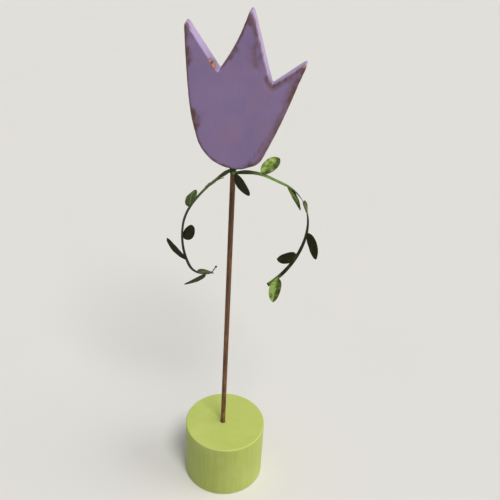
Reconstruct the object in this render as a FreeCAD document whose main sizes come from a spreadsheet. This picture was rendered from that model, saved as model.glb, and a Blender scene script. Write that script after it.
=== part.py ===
import FreeCAD, Part
import math
import os

import Sketcher

# A painted wooden tulip on a thin round stick that stands in a turned wooden foot.
# A narrow tape with cloth leaves goes once round the stick under the head, and its two free arms
# curl down on either side. Millimetres, +Z up, origin at the centre of the foot's underside.
# The head's flat front faces -Y.

SIZES = (
    ("base_diameter", 60.0, "round foot, across"),
    ("base_height", 49.4, "round foot, height"),
    ("base_top_round", 0.9, "sanded upper rim"),
    ("base_foot_round", 0.7, "sanded lower rim"),
    ("stem_diameter", 3.5, "round stick, stained"),
    ("stem_length", 250.0, "round stick, end to end"),
    ("stem_depth_in_base", 12.0, "length glued into the foot"),
    ("stem_depth_in_head", 9.4, "length glued into the head"),
    ("stem_end_chamfer", 0.4, "broken edge at both ends"),
    ("stem_fit_clearance", 0.05, "glue gap round the stick"),
    ("stem_offset_x", -1.65, "the foot's hole is drilled a little off centre"),
    ("stem_offset_y", -0.3, "the foot's hole is drilled a little off centre"),
    ("head_width", 72.0, "tulip head, across"),
    ("head_height", 105.4, "tulip head, bottom to the middle tip before it is rounded"),
    ("head_thickness", 8.5, "board thickness"),
    ("head_tip_round", 1.2, "rounding of the three tips in plan"),
    ("head_notch_round", 0.8, "rounding of the two notches in plan"),
    ("head_edge_round", 0.9, "sanded edge of front and back"),
    ("hole_overrun", 1.0, "how far a cut starts outside the wood"),
    ("tape_width", 3.0, "leaf tape, arms"),
    ("tape_thickness", 0.4, "leaf tape"),
    ("wrap_width", 2.2, "tape width where it is drawn tight round the stick"),
    ("wrap_pitch", 2.8, "drop of the tape in its turn round the stick"),
    ("wrap_clearance", 0.2, "tape to stick"),
    ("wrap_drop", 1.6, "head's bottom to the middle of the tape's upper pass"),
    ("neck_length", 14.0, "stretch in which the tape twists from the stick into its arm"),
    ("right_brow_length", 25.3, "right arm, first bend"),
    ("right_straight_length", 14.0, "right arm, straight stretch"),
    ("right_side_length", 46.5, "right arm, outer bend"),
    ("right_tail_length", 51.0, "right arm, last bend"),
    ("left_neck_length", 6.0, "left arm, bend at the stick"),
    ("left_brow_length", 27.5, "left arm, upper stretch"),
    ("left_side_length", 18.5, "left arm, outer bend"),
    ("left_fall_length", 33.2, "left arm, falling stretch"),
    ("left_tail_length", 18.3, "left arm, last bend"),
    ("left_curl_length", 2.4, "left arm, sharp curl before its cut thread"),
    ("left_thread_length", 4.0, "left arm, thread at the cut end"),
    ("thread_width", 0.9, "thread at the cut end"),
    ("leaf_length", 20.0, "cloth leaf, base to tip"),
    ("leaf_width", 8.6, "cloth leaf, across"),
    ("leaf_thickness", 0.4, "stiffened cloth"),
    ("leaf_rise", 0.9, "height of the leaf's bow over its chord"),
    ("leaf_stalk_length", 0.9, "stalk that is pressed into the tape"),
    ("leaf_stalk_width", 1.2, "stalk across"),
)

# The garland hangs in one upright plane through the stick. Its right arm goes to the right and back.
GARLAND_HEADING = 32.0
# Turns of the arms' stretches in degrees, each bending downwards and back to the stick.
RIGHT_TURNS = (("right_brow_length", 34.0), ("right_straight_length", 0.0), ("right_side_length", 60.0),
               ("right_tail_length", 58.0))
LEFT_TURNS = (("left_neck_length", 28.0), ("left_brow_length", 23.5), ("left_side_length", 32.5),
              ("left_fall_length", 28.5), ("left_tail_length", 66.5), ("left_curl_length", 56.0),
              ("left_thread_length", 0.0))
# Roll of the tape in degrees: 0 lays its outer face outwards in the plane, 90 turns it to the front.
WRAP_ROLL = 90.0
RIGHT_ROLL_FROM = 20.0
RIGHT_ROLL_TO = -18.0
LEFT_ROLL_FROM = -10.0
LEFT_ROLL_TO = 70.0
RIGHT_ROLL_POWER = 1
LEFT_ROLL_POWER = 2
# How finely the twisted tape is divided: the longest stretch, the twist at the stick and the turn round it.
STEPS_PER_STRETCH = 12
STEPS_PER_NECK = 6
STEPS_PER_TURN = 24
# Angle in degrees up to which two directions count as the same.
SAME_DIRECTION_ANGLE = 2.5
# Share of a turn after which the tape may lie beside itself.
BESIDE_ITSELF_SHARE = 0.75

# Corners of the head's outline, from the left tip round the bowl, as shares of its width from the stick
# and of its height from its bottom, each with its kind.
HEAD_CORNER_SHARES = (
    (-0.435, 0.885, "tip"), (-0.394, 0.437, "bend"), (-0.312, 0.156, "bend"), (0.166, 0.021, "bend"),
    (0.253, 0.0825, "bend"), (0.510, 0.584, "bend"), (0.578, 0.723, "tip"), (0.290, 0.5495, "notch"),
    (0.097, 1.0, "tip"), (-0.148, 0.6015, "notch"))
# Where a side bulges, the point that its arc passes through. The key is the corner at which it starts.
HEAD_BULGE_SHARES = {
    0: (-0.417, 0.655), 1: (-0.3645, 0.295), 2: (-0.1255, 0.016), 3: (0.219, 0.0455), 4: (0.3925, 0.330),
    8: (0.002, 0.803)}

# Turn in degrees from which the corner between two long sides of the head is rounded, and its radius as a
# share of a tip's.
LEAST_BEND_TURN = 6.1
BEND_ROUND_SHARE = 2.0

# A leaf is widest a little nearer to its base.
LEAF_WIDEST_SHARE = 0.46

# Each leaf: name, arm, place along the arm as a share of its length, and in degrees the heading from +X,
# the rise over level and the roll about the leaf's own line.
LEAF_PLACE_SHARES = (
    ("leaf_right_1", "right", 0.136, 65.0, 7.0, 26.0),
    ("leaf_right_2", "right", 0.008, -56.0, -13.0, 157.0),
    ("leaf_right_3", "right", 0.300, 7.0, -60.0, 5.0),
    ("leaf_right_4", "right", 0.534, -103.0, 54.0, -69.0),
    ("leaf_right_5", "right", 0.639, -59.0, -29.0, -111.0),
    ("leaf_right_6", "right", 0.783, 149.0, -35.0, 137.0),
    ("leaf_right_7", "right", 0.935, -89.0, -17.0, 18.0),
    ("leaf_left_1", "left", 0.198, 70.0, -8.0, -35.0),
    ("leaf_left_2", "left", 0.342, 96.0, -2.0, -33.0),
    ("leaf_left_3", "left", 0.548, -44.0, 46.0, -101.0),
    ("leaf_left_4", "left", 0.731, 146.0, 21.0, -149.0),
    ("leaf_left_5", "left", 0.957, -107.0, 31.0, -2.0),
    ("leaf_left_6", "left", 0.918, 171.0, -42.0, -142.0),
)

doc = FreeCAD.newDocument("Tulip")
sheet = doc.addObject("Spreadsheet::Sheet", "Sizes")
for row, (name, amount, words) in enumerate(SIZES, start=1):
    sheet.set("A%d" % row, words)
    sheet.set("B%d" % row, str(amount))
    sheet.setAlias("B%d" % row, name)
doc.recompute()


def size(alias):
    """The value of a cell of the sheet, in millimetres"""
    return float(sheet.get(alias))


def term_value(term):
    """A term is a sum of cells of the sheet, each times a share"""
    return sum(size(alias) * share for alias, share in term)


def term_text(term):
    return " + ".join("Sizes.%s * %r" % (alias, share) for alias, share in term)


def of(*pairs):
    """Makes a term from cells and shares given in turn"""
    return tuple(zip(pairs[::2], pairs[1::2]))


# Sketches
def new_sketch(body, name, role):
    """A sketch on one of the body's own origin planes"""
    plane = [feature for feature in body.Origin.OriginFeatures if feature.Role == role][0]
    sketch = body.newObject("Sketcher::SketchObject", name)
    sketch.AttachmentSupport = [(plane, "")]
    sketch.MapMode = "FlatFace"
    return sketch


def tie_point(sketch, geometry, position, point):
    """Ties a point of the sketch to two terms, or to an axis where a term is nothing"""
    kinds = ("DistanceX", "DistanceY")
    axes = (-2, -1)
    for kind, axis, term in zip(kinds, axes, point):
        if not term:
            sketch.addConstraint(Sketcher.Constraint("PointOnObject", geometry, position, axis))
            continue
        index = sketch.addConstraint(Sketcher.Constraint(kind, -1, 1, geometry, position, term_value(term)))
        sketch.setExpression("Constraints[%d]" % index, term_text(term))


def add_outline(sketch, corners, bulges):
    """A closed outline through the corners: lines, and arcs where a side has a bulge point"""
    spots = [FreeCAD.Vector(term_value(x), term_value(y), 0) for x, y in corners]
    sides = []
    for i, start in enumerate(spots):
        end = spots[(i + 1) % len(spots)]
        if i in bulges:
            x, y = bulges[i]
            middle = FreeCAD.Vector(term_value(x), term_value(y), 0)
            side = sketch.addGeometry(Part.ArcOfCircle(start, middle, end), False)
            mark = sketch.addGeometry(Part.Point(middle), True)
            sketch.addConstraint(Sketcher.Constraint("PointOnObject", mark, 1, side))
            tie_point(sketch, mark, 1, bulges[i])
        else:
            side = sketch.addGeometry(Part.LineSegment(start, end), False)
        first, second = 1, 2
        if (sketch.getPoint(side, 1) - start).Length > (sketch.getPoint(side, 2) - start).Length:
            first, second = 2, 1
        sides.append((side, first, second))
    for i, (side, first, second) in enumerate(sides):
        following, its_first, _ = sides[(i + 1) % len(sides)]
        sketch.addConstraint(Sketcher.Constraint("Coincident", side, second, following, its_first))
        tie_point(sketch, side, first, corners[i])


def add_circle(sketch, diameter_text, diameter):
    """A circle at the sketch's origin"""
    circle = sketch.addGeometry(Part.Circle(FreeCAD.Vector(), FreeCAD.Vector(0, 0, 1), diameter / 2), False)
    sketch.addConstraint(Sketcher.Constraint("Coincident", circle, 3, -1, 1))
    index = sketch.addConstraint(Sketcher.Constraint("Diameter", circle, diameter))
    sketch.setExpression("Constraints[%d]" % index, diameter_text)


def pad(body, name, sketch, length_text, symmetric=False):
    feature = body.newObject("PartDesign::Pad", name)
    feature.Profile = sketch
    feature.setExpression("Length", length_text)
    if symmetric:
        feature.SideType = "Symmetric"
    doc.recompute()
    return feature


def pocket(body, name, sketch, length_text, upwards=False, symmetric=False):
    feature = body.newObject("PartDesign::Pocket", name)
    feature.Profile = sketch
    feature.setExpression("Length", length_text)
    feature.Reversed = upwards
    if symmetric:
        feature.SideType = "Symmetric"
    doc.recompute()
    return feature


def dress(body, kind, name, base, edges, property_name, size_text):
    """A fillet or chamfer on named edges of the feature before it"""
    feature = body.newObject(kind, name)
    feature.Base = (base, edges)
    feature.setExpression(property_name, size_text)
    doc.recompute()
    return feature


def edge_names(shape, test):
    return ["Edge%d" % i for i, edge in enumerate(shape.Edges, start=1) if test(edge)]


def face_edge_names(shape, direction):
    """Names of the outer edges of the flat faces that look along a direction"""
    wanted = []
    for face in shape.Faces:
        flat = isinstance(face.Surface, Part.Plane)
        if flat and abs(face.normalAt(0, 0).dot(direction)) > math.cos(math.radians(SAME_DIRECTION_ANGLE)):
            wanted += face.OuterWire.Edges
    return edge_names(shape, lambda edge: any(edge.isSame(other) for other in wanted))


def new_body(name):
    body = doc.addObject("PartDesign::Body", name)
    body.Label = name
    return body


def place_on_stem(body, height_text):
    """Puts the body's origin on the stick's axis at a height"""
    body.setExpression("Placement.Base.x", "Sizes.stem_offset_x")
    body.setExpression("Placement.Base.y", "Sizes.stem_offset_y")
    body.setExpression("Placement.Base.z", height_text)


STEM_FOOT_TEXT = "Sizes.base_height - Sizes.stem_depth_in_base"
HEAD_BOTTOM_TEXT = STEM_FOOT_TEXT + " + Sizes.stem_length - Sizes.stem_depth_in_head"
STEM_HOLE_TEXT = "Sizes.stem_diameter + 2 * Sizes.stem_fit_clearance"
UP = FreeCAD.Vector(0, 0, 1)
BACK = FreeCAD.Vector(0, 1, 0)

stem_hole_diameter = size("stem_diameter") + 2 * size("stem_fit_clearance")
stem_axis = FreeCAD.Vector(size("stem_offset_x"), size("stem_offset_y"), 0)
head_bottom = size("base_height") - size("stem_depth_in_base") + size("stem_length") - size("stem_depth_in_head")


# The foot: a round block with sanded rims and a blind hole for the stick
def make_base():
    body = new_body("base_block")
    disc = new_sketch(body, "base_disc", "XY_Plane")
    add_circle(disc, "Sizes.base_diameter", size("base_diameter"))
    block = pad(body, "base_pad", disc, "Sizes.base_height")
    rim_names = edge_names(block.Shape, lambda edge: edge.Vertexes[0].Z > size("base_height") / 2 and edge.Closed)
    top = dress(body, "PartDesign::Fillet", "base_top", block, rim_names, "Radius", "Sizes.base_top_round")
    foot_names = edge_names(top.Shape, lambda edge: edge.BoundBox.ZMax < size("base_top_round"))
    dress(body, "PartDesign::Fillet", "base_foot", top, foot_names, "Radius", "Sizes.base_foot_round")
    hole = new_sketch(body, "base_hole_disc", "XY_Plane")
    add_circle(hole, STEM_HOLE_TEXT, stem_hole_diameter)
    hole.setExpression("AttachmentOffset.Base.x", "Sizes.stem_offset_x")
    hole.setExpression("AttachmentOffset.Base.y", "Sizes.stem_offset_y")
    hole.setExpression("AttachmentOffset.Base.z", "Sizes.base_height + Sizes.hole_overrun")
    pocket(body, "base_hole", hole, "Sizes.stem_depth_in_base + Sizes.hole_overrun")
    return body


# The stick
def make_stem():
    body = new_body("stem_rod")
    disc = new_sketch(body, "stem_disc", "XY_Plane")
    add_circle(disc, "Sizes.stem_diameter", size("stem_diameter"))
    rod = pad(body, "stem_pad", disc, "Sizes.stem_length")
    rims = edge_names(rod.Shape, lambda edge: edge.Closed)
    dress(body, "PartDesign::Chamfer", "stem_ends", rod, rims, "Size", "Sizes.stem_end_chamfer")
    place_on_stem(body, STEM_FOOT_TEXT)
    return body


# The tulip head: a flat board sawn to three petals, with rounded tips, notches and edges
def make_head():
    body = new_body("tulip_head")
    outline = new_sketch(body, "head_outline", "XZ_Plane")
    corners = [(of("head_width", x), of("head_height", z)) for x, z, _ in HEAD_CORNER_SHARES]
    kinds = [kind for _, _, kind in HEAD_CORNER_SHARES]
    bulges = {i: (of("head_width", x), of("head_height", z)) for i, (x, z) in HEAD_BULGE_SHARES.items()}
    add_outline(outline, corners, bulges)
    board = pad(body, "head_pad", outline, "Sizes.head_thickness", symmetric=True)

    def stands_at(edge, wanted):
        spots = [(term_value(x), term_value(z)) for (x, z), kind in zip(corners, kinds) if kind == wanted]
        line = isinstance(edge.Curve, Part.Line) and edge.BoundBox.YLength > size("head_thickness") / 2
        first = edge.Vertexes[0].Point
        return line and any(math.hypot(first.x - x, first.z - z) < size("head_edge_round") for x, z in spots)

    def turn_at(edge):
        """Angle in degrees between the two sides that meet at an upright edge"""
        corner = edge.Vertexes[0].Point
        first, second = [face.normalAt(*face.Surface.parameter(corner))
                         for face in board.Shape.ancestorsOfType(edge, Part.Face)]
        return math.degrees(first.getAngle(second))

    bend_names = edge_names(board.Shape, lambda edge: stands_at(edge, "bend") and turn_at(edge) > LEAST_BEND_TURN)
    if bend_names:
        board = dress(body, "PartDesign::Fillet", "head_bends", board, bend_names, "Radius",
                      "Sizes.head_tip_round * %r" % BEND_ROUND_SHARE)
    tip_names = edge_names(board.Shape, lambda edge: stands_at(edge, "tip"))
    tips = dress(body, "PartDesign::Fillet", "head_tips", board, tip_names, "Radius", "Sizes.head_tip_round")
    notch_names = edge_names(tips.Shape, lambda edge: stands_at(edge, "notch"))
    notches = dress(body, "PartDesign::Fillet", "head_notches", tips, notch_names, "Radius",
                    "Sizes.head_notch_round")
    sanded = face_edge_names(notches.Shape, BACK)
    dress(body, "PartDesign::Fillet", "head_edges", notches, sanded, "Radius", "Sizes.head_edge_round")
    hole = new_sketch(body, "head_hole_disc", "XY_Plane")
    add_circle(hole, STEM_HOLE_TEXT, stem_hole_diameter)
    hole.setExpression("AttachmentOffset.Base.z", "-Sizes.hole_overrun")
    pocket(body, "head_hole", hole, "Sizes.stem_depth_in_head + Sizes.hole_overrun", upwards=True)
    place_on_stem(body, HEAD_BOTTOM_TEXT)
    return body


# The garland's plane: along it to the right, and out of it to the front
heading = math.radians(GARLAND_HEADING)
garland_right = FreeCAD.Vector(math.cos(heading), math.sin(heading), 0)
garland_front = FreeCAD.Vector(math.sin(heading), -math.cos(heading), 0)
wrap_radius = size("stem_diameter") / 2 + size("wrap_clearance") + size("tape_thickness") / 2
wrap_top = head_bottom - size("wrap_drop")


def eased(share):
    """Goes from 0 to 1 with a level start and end"""
    return share * share * (3 - 2 * share)


def arm_length(turns):
    return sum(size(alias) for alias, _ in turns)


def arm_point(turns, side, start_height, run):
    """A point of an arm's middle line at a run from the stick, with its outward course and outer normal"""
    across, drop, course = 0.0, 0.0, 0.0
    left_over = run
    for alias, turn in turns:
        piece = min(left_over, size(alias))
        bend = math.radians(turn) * piece / size(alias)
        if bend > 0:
            radius = piece / bend
            across += radius * (math.sin(course + bend) - math.sin(course))
            drop += radius * (math.cos(course) - math.cos(course + bend))
        else:
            across += piece * math.cos(course)
            drop += piece * math.sin(course)
        course += bend
        left_over -= piece
        if left_over <= 0:
            break
    along = garland_right * side
    point = stem_axis + garland_front * wrap_radius + along * across + UP * (start_height - drop)
    outward = along * math.cos(course) - UP * math.sin(course)
    normal = along * math.sin(course) + UP * math.cos(course)
    return point, outward, normal


def arm_roll(run, total, roll_from, roll_to, power):
    """The tape stands upright at the stick, twists flat along the neck and turns on slowly from there"""
    neck = size("neck_length")
    if run < neck:
        return WRAP_ROLL + (roll_from - WRAP_ROLL) * eased(run / neck)
    return roll_from + (roll_to - roll_from) * ((run - neck) / (total - neck)) ** power


ARMS = {
    "right": (RIGHT_TURNS, 1, wrap_top - size("wrap_pitch"), RIGHT_ROLL_FROM, RIGHT_ROLL_TO, RIGHT_ROLL_POWER),
    "left": (LEFT_TURNS, -1, wrap_top, LEFT_ROLL_FROM, LEFT_ROLL_TO, LEFT_ROLL_POWER),
}


def arm_section(arm, run):
    """Middle, outward course, face normal and width of the tape at a run from the stick"""
    turns, side, start_height, roll_from, roll_to, power = ARMS[arm]
    point, outward, normal = arm_point(turns, side, start_height, run)
    roll = math.radians(arm_roll(run, arm_length(turns), roll_from, roll_to, power))
    face = normal * math.cos(roll) + garland_front * math.sin(roll)
    widening = eased(min(run / size("neck_length"), 1))
    width = size("wrap_width") + (size("tape_width") - size("wrap_width")) * widening
    if arm == "left":
        thread_start = arm_length(turns) - size("left_thread_length")
        curl_start = thread_start - size("left_curl_length")
        if run > curl_start:
            narrowing = min((run - curl_start) / size("left_curl_length"), 1)
            width += (size("thread_width") - width) * narrowing
    return point, outward, face, width


def arm_runs(arm):
    """Runs from the stick at which the tape gets a section"""
    runs = [0.0]
    for alias, _ in ARMS[arm][0]:
        steps = max(2, round(STEPS_PER_STRETCH * size(alias) / size("right_tail_length")))
        start = runs[-1]
        runs += [start + size(alias) * i / steps for i in range(1, steps + 1)]
    runs += [size("neck_length") * i / STEPS_PER_NECK for i in range(1, STEPS_PER_NECK + 1)]
    spaced = []
    for run in sorted(runs):
        if not spaced or run - spaced[-1] > size("tape_thickness"):
            spaced.append(run)
    spaced[-1] = arm_length(ARMS[arm][0])
    return spaced


def wrap_sections():
    """The tape's one turn round the stick, from its upper pass over the front to its lower one"""
    sections = []
    for i in range(1, STEPS_PER_TURN):
        share = i / STEPS_PER_TURN
        angle = heading - math.pi / 2 + 2 * math.pi * share
        radial = FreeCAD.Vector(math.cos(angle), math.sin(angle), 0)
        drop = size("wrap_pitch") * eased(share)
        slope = size("wrap_pitch") * 6 * share * (1 - share) / (2 * math.pi * wrap_radius)
        course = UP.cross(radial) - UP * slope
        course.normalize()
        point = stem_axis + radial * wrap_radius + UP * (wrap_top - drop)
        sections.append((point, course, radial, size("wrap_width")))
    return sections


def tape_sections():
    """All sections of the tape, from the left arm's free end to the right arm's"""
    left = [arm_section("left", run) for run in reversed(arm_runs("left"))]
    left = [(point, -outward, face, width) for point, outward, face, width in left]
    right = [arm_section("right", run) for run in arm_runs("right")]
    return left + wrap_sections() + right


def section_corners(point, course, face, width):
    across = course.cross(face)
    across.normalize()
    half_width = across * (width / 2)
    half_thickness = face * (size("tape_thickness") / 2)
    return [point + half_width + half_thickness, point + half_width - half_thickness,
            point - half_width - half_thickness, point - half_width + half_thickness]


def section_wire(section):
    corners = section_corners(*section)
    return Part.makePolygon(corners + corners[:1])


def least_gap_of_turn(sections):
    """The least distance between corners of the tape near the stick that lie most of a turn apart"""
    reach = size("neck_length")
    near = []
    run = 0.0
    before = sections[0][0]
    for section in sections:
        run += (section[0] - before).Length
        before = section[0]
        if math.hypot(before.x - stem_axis.x, before.y - stem_axis.y) < reach:
            near.append((run, section_corners(*section)))
    most_of_turn = BESIDE_ITSELF_SHARE * 2 * math.pi * wrap_radius
    gaps = [(a - b).Length for run_a, corners_a in near for run_b, corners_b in near
            if run_b - run_a > most_of_turn for a in corners_a for b in corners_b]
    return min(gaps)


# The tape: one flat band, so its sections are ruled together
def make_tape():
    sections = tape_sections()
    wires = [section_wire(section) for section in sections]
    solid = Part.makeLoft(wires, True, True)
    tape = doc.addObject("Part::Feature", "garland_tape")
    tape.Label = "garland_tape"
    tape.Shape = solid
    print("tape length %.1f mm, least gap of its turn to itself %.2f mm"
          % (sum((b[0] - a[0]).Length for a, b in zip(sections, sections[1:])), least_gap_of_turn(sections)))
    return tape


# A leaf: a bowed strip of stiff cloth, cut to a pointed oval with a short stalk in the tape
def make_leaf(name, arm, place_share, heading_degrees, rise_degrees, roll_degrees):
    body = new_body(name)
    strip = new_sketch(body, name + "_strip", "XZ_Plane")
    root, tip = of("leaf_stalk_length", -1.0), of("leaf_length", 1.0)
    above, below = of("leaf_thickness", 0.5), of("leaf_thickness", -0.5)
    crown = (of("leaf_length", 0.5), of("leaf_rise", 1.0, "leaf_thickness", 0.5))
    belly = (of("leaf_length", 0.5), of("leaf_rise", 1.0, "leaf_thickness", -0.5))
    add_outline(strip, [(root, below), (tip, below), (tip, above), (root, above)], {0: belly, 2: crown})
    pad(body, name + "_pad", strip, "2 * Sizes.leaf_width", symmetric=True)

    cut = new_sketch(body, name + "_cut", "XY_Plane")
    left, right = of("leaf_length", -1.0), of("leaf_length", 2.0)
    lower, upper = of("leaf_width", -2.0), of("leaf_width", 2.0)
    add_outline(cut, [(left, lower), (right, lower), (right, upper), (left, upper)], {})
    stalk_low, stalk_high = of("leaf_stalk_width", -0.5), of("leaf_stalk_width", 0.5)
    widest = of("leaf_length", LEAF_WIDEST_SHARE)
    side_low, side_high = (widest, of("leaf_width", -0.5)), (widest, of("leaf_width", 0.5))
    add_outline(cut, [(root, stalk_low), ((), stalk_low), (tip, ()), ((), stalk_high), (root, stalk_high)],
                {1: side_low, 2: side_high})
    pocket(body, name + "_oval", cut, "4 * (Sizes.leaf_rise + Sizes.leaf_thickness)", symmetric=True)

    turn, rise = math.radians(heading_degrees), math.radians(rise_degrees)
    roll = math.radians(roll_degrees)
    course = FreeCAD.Vector(math.cos(turn) * math.cos(rise), math.sin(turn) * math.cos(rise), math.sin(rise))
    level = course.cross(UP)
    level.normalize()
    top = level.cross(course) * math.cos(roll) + level * math.sin(roll)
    root_point = arm_section(arm, arm_length(ARMS[arm][0]) * place_share)[0]
    turned = FreeCAD.Rotation(course, top.cross(course), top, "XZY")
    body.Placement = FreeCAD.Placement(root_point + course * size("leaf_stalk_length"), turned)
    return body


parts = [make_base(), make_stem(), make_head(), make_tape()]
parts += [make_leaf(*leaf) for leaf in LEAF_PLACE_SHARES]
doc.recompute()

for item in doc.Objects:
    if "Invalid" in item.State or "Error" in item.State:
        raise RuntimeError("%s failed: %s" % (item.Label, item.State))
for part in parts:
    if part.Shape.isNull() or not part.Shape.isValid() or len(part.Shape.Solids) != 1:
        raise RuntimeError("%s has no good solid" % part.Label)

os.makedirs("parts", exist_ok=True)
for part in parts:
    part.Shape.exportStep("parts/%s.step" % part.Label)
    box = part.Shape.BoundBox
    print("%-14s %9.1f mm3   x %.1f to %.1f   y %.1f to %.1f   z %.1f to %.1f"
          % (part.Label, part.Shape.Volume, box.XMin, box.XMax, box.YMin, box.YMax, box.ZMin, box.ZMax))
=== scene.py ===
import math

import bpy
import numpy as np
from mathutils import Matrix, Vector, noise
from mathutils.geometry import delaunay_2d_cdt


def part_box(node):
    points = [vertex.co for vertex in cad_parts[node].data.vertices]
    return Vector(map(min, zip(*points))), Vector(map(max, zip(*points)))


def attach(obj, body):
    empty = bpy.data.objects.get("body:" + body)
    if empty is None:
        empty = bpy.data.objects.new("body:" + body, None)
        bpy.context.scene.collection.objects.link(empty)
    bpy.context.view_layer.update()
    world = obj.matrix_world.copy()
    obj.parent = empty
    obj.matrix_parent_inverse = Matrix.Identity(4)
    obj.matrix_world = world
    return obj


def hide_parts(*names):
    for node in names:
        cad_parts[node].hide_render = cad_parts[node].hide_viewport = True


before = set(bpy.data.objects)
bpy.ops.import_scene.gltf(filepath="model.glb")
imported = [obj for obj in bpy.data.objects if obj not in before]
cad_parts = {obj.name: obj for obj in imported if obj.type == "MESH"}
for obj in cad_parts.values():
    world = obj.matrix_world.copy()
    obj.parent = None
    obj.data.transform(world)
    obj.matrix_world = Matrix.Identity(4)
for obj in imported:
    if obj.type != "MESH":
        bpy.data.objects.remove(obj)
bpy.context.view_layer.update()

# Shapes are worked out in millimetres, as in the solids, and scaled when a mesh is made.
MM = 0.001

# Places read from the frame, and how deep the stick goes into the head
stem_low, stem_high = (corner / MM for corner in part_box("stem_rod"))
STEM_RADIUS = (stem_high.x - stem_low.x) / 2
STEM_AXIS = Vector(((stem_low.x + stem_high.x) / 2, (stem_low.y + stem_high.y) / 2, 0))
HEAD_HOLE_DEPTH = 9.4
HEAD_BOTTOM = stem_high.z - HEAD_HOLE_DEPTH
UP = Vector((0, 0, 1))


# Colours, written as levels from 0 to 255
def colour(red, green, blue):
    levels = [level / 255 for level in (red, green, blue)]
    lit = [level / 12.92 if level <= 0.04045 else ((level + 0.055) / 1.055) ** 2.4 for level in levels]
    return (*lit, 1.0)


PURPLE = colour(154, 130, 174)
PURPLE_DEEP = colour(144, 123, 168)
PURPLE_PINK = colour(160, 128, 162)
PURPLE_PALE = colour(170, 150, 192)
SIDE_HIGHLIGHT_LILAC = colour(196, 176, 214)
BEVEL_MAUVE = colour(136, 106, 130)
WORN_WOOD = colour(106, 74, 70)
BARE_WOOD = colour(205, 140, 92)
LIME = colour(188, 201, 100)
LIME_PALE = colour(200, 210, 122)
LIME_DEEP = colour(170, 184, 84)
STICK_RING_DARK = colour(96, 92, 44)
STICK = colour(130, 90, 58)
STICK_DARK = colour(68, 42, 28)
STICK_PALE = colour(168, 122, 78)
TAPE_GREEN = colour(104, 134, 56)
TAPE_PALE = colour(132, 160, 76)
TAPE_SHADED = colour(42, 46, 24)
TAPE_INSIDE = colour(40, 42, 24)
LEAF_GREEN = colour(96, 118, 48)
LEAF_PALE = colour(156, 182, 92)
LEAF_DEEP = colour(56, 68, 28)
LEAF_INSIDE = colour(44, 48, 22)
LEAF_INSIDE_PALE = colour(66, 72, 34)
LEAF_SHADED = colour(14, 15, 7)
LEAF_EDGE = colour(92, 66, 36)
FLOOR = colour(229, 227, 222)
FLOOR_BOUNCE = colour(158, 156, 152)

# Where the materials change, in metres: the foot's rim, worn and with a painted highlight, the darker ring round
# the stick, and the stick's top, darkened as painted shade under the head
RIM_WEAR_AND_HIGHLIGHT_RADII = (0.0289, 0.0297)
RIM_WEAR_AND_HIGHLIGHT_HEIGHTS = (0.0476, 0.0489)
STICK_RING_RADII = (0.0024, 0.0017)
STICK_SHADE_HEIGHTS = (0.19, 0.26)
# Millimetres from one thread of the tape to the next
THREAD_PITCH = 0.42
# Tones of a leaf at which painted shade begins to deepen its cloth, and at which the painted shade is strongest
SHADED_LEAF_TONES = (-0.15, -0.45)


# Nodes
def plug(tree, socket, value):
    """Links a socket to another, or sets its value"""
    if isinstance(value, bpy.types.NodeSocket):
        tree.links.new(value, socket)
    else:
        socket.default_value = value


def node(tree, kind, inputs=None, **settings):
    made = tree.nodes.new(kind)
    for name, value in settings.items():
        setattr(made, name, value)
    for key, value in (inputs or {}).items():
        plug(tree, made.inputs[key], value)
    return made


def mixed(tree, share, first, second, blend="MIX"):
    """A colour between two"""
    made = node(tree, "ShaderNodeMix", {0: share, 6: first, 7: second}, data_type="RGBA", blend_type=blend)
    return made.outputs[2]


def ranged(tree, value, low, high, to_low=0.0, to_high=1.0):
    """Stretches low to high over another range, and holds its ends"""
    return node(tree, "ShaderNodeMapRange", {0: value, 1: low, 2: high, 3: to_low, 4: to_high},
                interpolation_type="SMOOTHSTEP").outputs[0]


def worked(tree, operation, first, second=0.0):
    return node(tree, "ShaderNodeMath", {0: first, 1: second}, operation=operation).outputs[0]


def places(tree, stretch=(1, 1, 1)):
    """Places on the piece in metres, drawn out along an axis by a small number"""
    spots = node(tree, "ShaderNodeTexCoord").outputs["Object"]
    return node(tree, "ShaderNodeMapping", {"Vector": spots, "Scale": stretch}).outputs[0]


def grain(tree, vector, scale, detail=3.0, rough=0.5):
    """Noise with a given number of grains per metre"""
    made = node(tree, "ShaderNodeTexNoise",
                {"Vector": vector, "Scale": scale, "Detail": detail, "Roughness": rough})
    return made.outputs[0]


def attribute(tree, name):
    return node(tree, "ShaderNodeAttribute", attribute_name=name).outputs["Fac"]


def bumped(tree, height, distance, strength=1.0, under=None):
    inputs = {"Height": height, "Distance": distance, "Strength": strength}
    if under is not None:
        inputs["Normal"] = under
    return node(tree, "ShaderNodeBump", inputs).outputs[0]


def new_material(name):
    material = bpy.data.materials.new(name)
    material.use_nodes = True
    return material, material.node_tree, material.node_tree.nodes["Principled BSDF"]


def dress_shader(tree, shader, **inputs):
    for key, value in inputs.items():
        plug(tree, shader.inputs[key.replace("_", " ")], value)
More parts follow.
